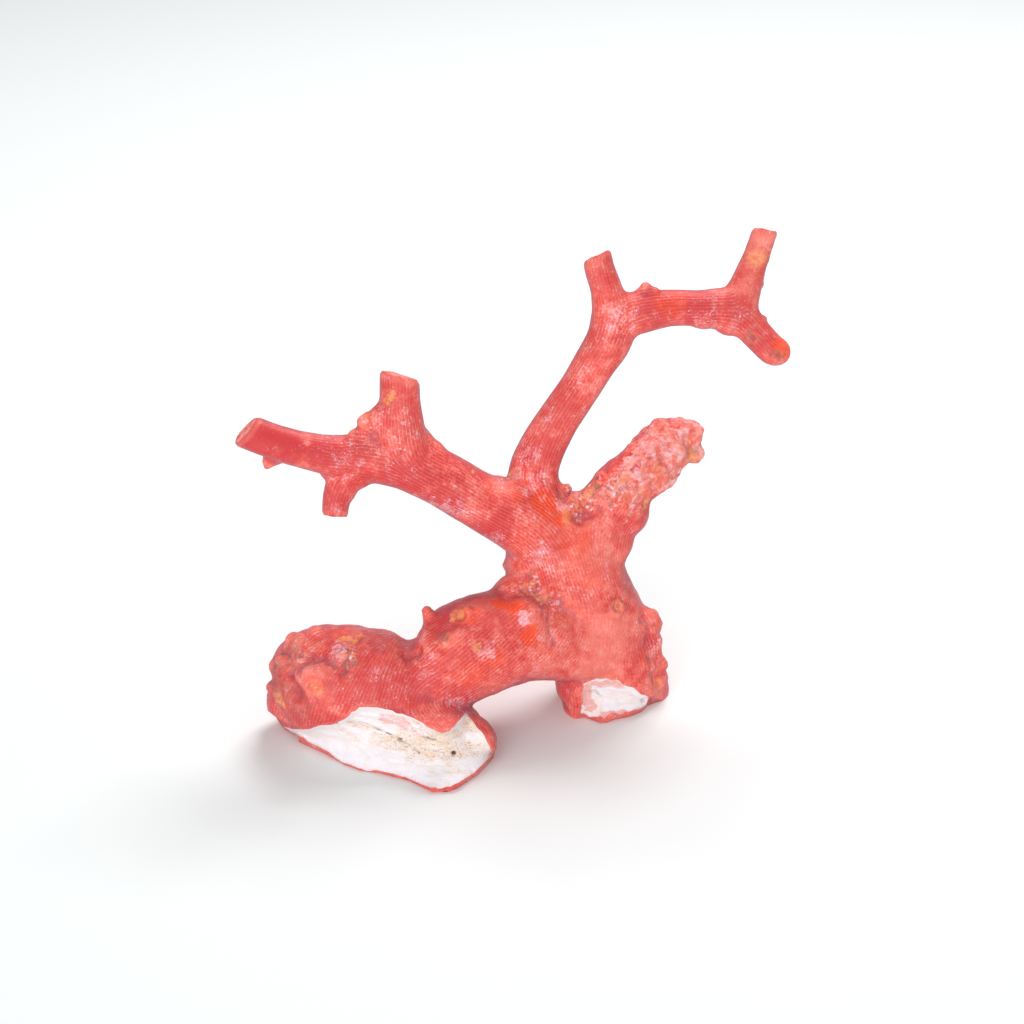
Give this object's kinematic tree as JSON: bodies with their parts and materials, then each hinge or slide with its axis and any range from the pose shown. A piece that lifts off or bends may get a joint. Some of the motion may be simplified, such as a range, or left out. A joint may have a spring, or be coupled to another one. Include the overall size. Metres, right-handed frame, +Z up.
{
  "type": "raw red coral branch",
  "caption": "Raw branch of red coral: a thick grooved trunk with a heavy bent root lobe, forking arms and cut stubs, standing on flat cuts under its foot and its lobe.",
  "frame": {"origin": "on the standing plane, near the middle of the flat cut under the trunk's foot", "axes": "+Z up the trunk from the standing plane, +X towards the stump and the high prong, +Y to the back, away from the broken faces of the base; the branches spread along X"},
  "size_m": [0.1109, 0.0583, 0.0983],
  "materials": {
    "red_coral": "unpolished red coral, finely grooved along the limbs, with a soft sheen and white bloom",
    "pale_coral": "rough, flaking, pale coral without grooves"
  },
  "bodies": {
    "root": {"trunk": "red_coral", "root_arm": "red_coral", "left_branch": "red_coral", "left_arm": "red_coral", "left_stub": "red_coral", "upper_branch": "red_coral", "upper_stub": "red_coral", "upper_arm": "red_coral", "high_prong": "red_coral", "stump": "pale_coral"}
  },
  "joints": []
}
